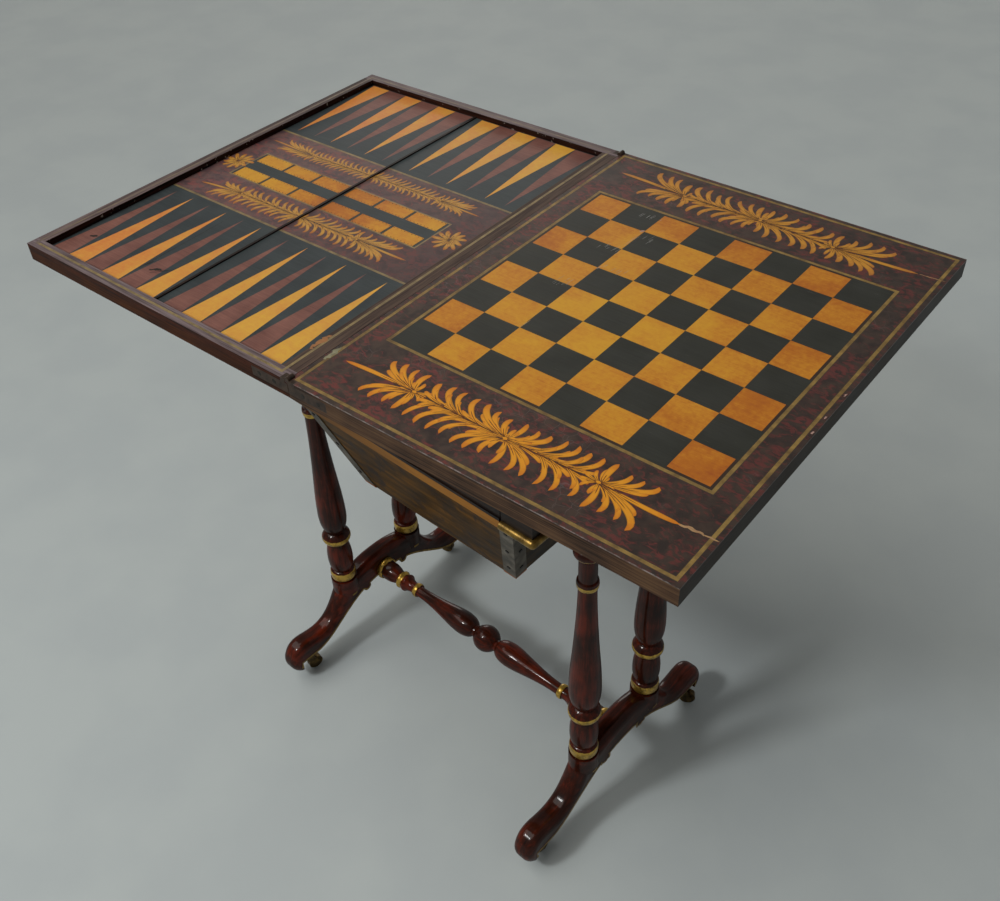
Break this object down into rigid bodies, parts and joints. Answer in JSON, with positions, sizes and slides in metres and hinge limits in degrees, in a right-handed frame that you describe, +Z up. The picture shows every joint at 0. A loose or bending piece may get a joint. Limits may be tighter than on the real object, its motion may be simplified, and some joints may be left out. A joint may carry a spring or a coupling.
{
  "type": "games and work table",
  "caption": "Fold-over games table: a swivelling top with inlaid chess and sunk backgammon leaves over turned trestles on castors, with a tapered sliding work box.",
  "frame": {"origin": "on the floor, below the middle of the hinge line between the two open leaves", "axes": "+X from the backgammon leaf to the chess leaf, +Y along the hinge line away from the viewer, +Z up"},
  "size_m": [0.824, 0.542, 0.748],
  "materials": {
    "dark_mahogany": "gloss",
    "carcase_pine": "raw",
    "frieze_lacquer": "gloss",
    "gilt": "satin",
    "castor_brass": "aged",
    "steel_screws": "plain",
    "box_lacquer": "satin",
    "corner_leather": "worn",
    "iron_tacks": "dull",
    "leaf_wood": "satin",
    "tortoiseshell_lacquer": "gloss",
    "amber_veneer": "satin",
    "black_veneer": "satin",
    "brown_veneer": "satin",
    "hinge_brass": "aged",
    "swivel_iron": "dull"
  },
  "bodies": {
    "base": {"foot_left": "dark_mahogany", "foot_right": "dark_mahogany", "leg_near_left": "dark_mahogany", "leg_near_right": "dark_mahogany", "leg_far_left": "dark_mahogany", "leg_far_right": "dark_mahogany", "stretcher": "dark_mahogany", "trestle_bearer_left": "carcase_pine", "trestle_bearer_right": "carcase_pine", "end_rail_left": "frieze_lacquer", "end_rail_right": "frieze_lacquer", "back_rail": "frieze_lacquer", "front_top_rail": "frieze_lacquer", "frame_bead": "gilt", "swivel_bearer": "carcase_pine", "castor_sockets": "castor_brass", "frame_screws": "steel_screws"},
    "work_box": {"drawer_front": "box_lacquer", "drawer_side_left": "carcase_pine", "drawer_side_right": "carcase_pine", "drawer_cross_rails": "carcase_pine", "box_panel_near": "box_lacquer", "box_panel_right": "box_lacquer", "box_panel_far": "box_lacquer", "box_panel_left": "box_lacquer", "box_floor": "carcase_pine", "box_corner_strips": "corner_leather", "box_tacks": "iron_tacks"},
    "chess_leaf": {"chess_core": "leaf_wood", "chess_ground": "tortoiseshell_lacquer", "chess_lines": "gilt", "light_squares": "amber_veneer", "dark_squares": "black_veneer", "fixed_hinges": "hinge_brass", "swivel_stud_plate": "swivel_iron", "swivel_washer": "swivel_iron", "swivel_nut": "swivel_iron", "chess_leaf_screws": "steel_screws"},
    "backgammon_leaf": {"backgammon_board": "leaf_wood", "rim_near": "leaf_wood", "rim_far": "leaf_wood", "rim_outer": "leaf_wood", "rim_hinge": "leaf_wood", "bar_strip": "black_veneer", "amber_points": "amber_veneer", "brown_points": "brown_veneer", "score_cells": "amber_veneer", "centre_panel": "tortoiseshell_lacquer", "backgammon_lines": "gilt", "field_ground": "black_veneer", "folding_hinges": "hinge_brass", "backgammon_leaf_screws": "steel_screws"},
    "castor_fork_near_left": {"castor_fork_near_left": "castor_brass"},
    "castor_wheel_near_left": {"castor_wheel_near_left": "castor_brass"},
    "castor_fork_near_right": {"castor_fork_near_right": "castor_brass"},
    "castor_wheel_near_right": {"castor_wheel_near_right": "castor_brass"},
    "castor_fork_far_left": {"castor_fork_far_left": "castor_brass"},
    "castor_wheel_far_left": {"castor_wheel_far_left": "castor_brass"},
    "castor_fork_far_right": {"castor_fork_far_right": "castor_brass"},
    "castor_wheel_far_right": {"castor_wheel_far_right": "castor_brass"}
  },
  "joints": [
    {"name": "top_swivel", "type": "hinge", "parent": "base", "child": "chess_leaf", "pos_m": [0.09003, 0.09713, 0.7246], "axis": [0, 0, 1], "range_deg": [-93.5, 0]},
    {"name": "leaf_fold", "type": "hinge", "parent": "chess_leaf", "child": "backgammon_leaf", "pos_m": [0, 0, 0.74525], "axis": [0, 1, 0], "range_deg": [0, 180]},
    {"name": "work_box_slide", "type": "slide", "parent": "base", "child": "work_box", "axis": [-0.061, -0.9981, 0], "range_m": [0, 0.24]},
    {"name": "castor_swivel_near_left", "type": "hinge", "parent": "base", "child": "castor_fork_near_left", "pos_m": [-0.25284, -0.15839, 0.042], "axis": [0, 0, 1], "continuous": true},
    {"name": "castor_roll_near_left", "type": "hinge", "parent": "castor_fork_near_left", "child": "castor_wheel_near_left", "pos_m": [-0.25004, -0.14672, 0.011], "axis": [-0.9724, 0.2334, 0], "continuous": true},
    {"name": "castor_swivel_near_right", "type": "hinge", "parent": "base", "child": "castor_fork_near_right", "pos_m": [0.2053, -0.18641, 0.042], "axis": [0, 0, 1], "continuous": true},
    {"name": "castor_roll_near_right", "type": "hinge", "parent": "castor_fork_near_right", "child": "castor_wheel_near_right", "pos_m": [0.20395, -0.17449, 0.011], "axis": [-0.9936, -0.1132, 0], "continuous": true},
    {"name": "castor_swivel_far_left", "type": "hinge", "parent": "base", "child": "castor_fork_far_left", "pos_m": [-0.2333, 0.16101, 0.042], "axis": [0, 0, 1], "continuous": true},
    {"name": "castor_roll_far_left", "type": "hinge", "parent": "castor_fork_far_left", "child": "castor_wheel_far_left", "pos_m": [-0.24481, 0.1576, 0.011], "axis": [0.284, -0.9588, 0], "continuous": true},
    {"name": "castor_swivel_far_right", "type": "hinge", "parent": "base", "child": "castor_fork_far_right", "pos_m": [0.22484, 0.13299, 0.042], "axis": [0, 0, 1], "continuous": true},
    {"name": "castor_roll_far_right", "type": "hinge", "parent": "castor_fork_far_right", "child": "castor_wheel_far_right", "pos_m": [0.23507, 0.13926, 0.011], "axis": [-0.5225, 0.8526, 0], "continuous": true}
  ]
}
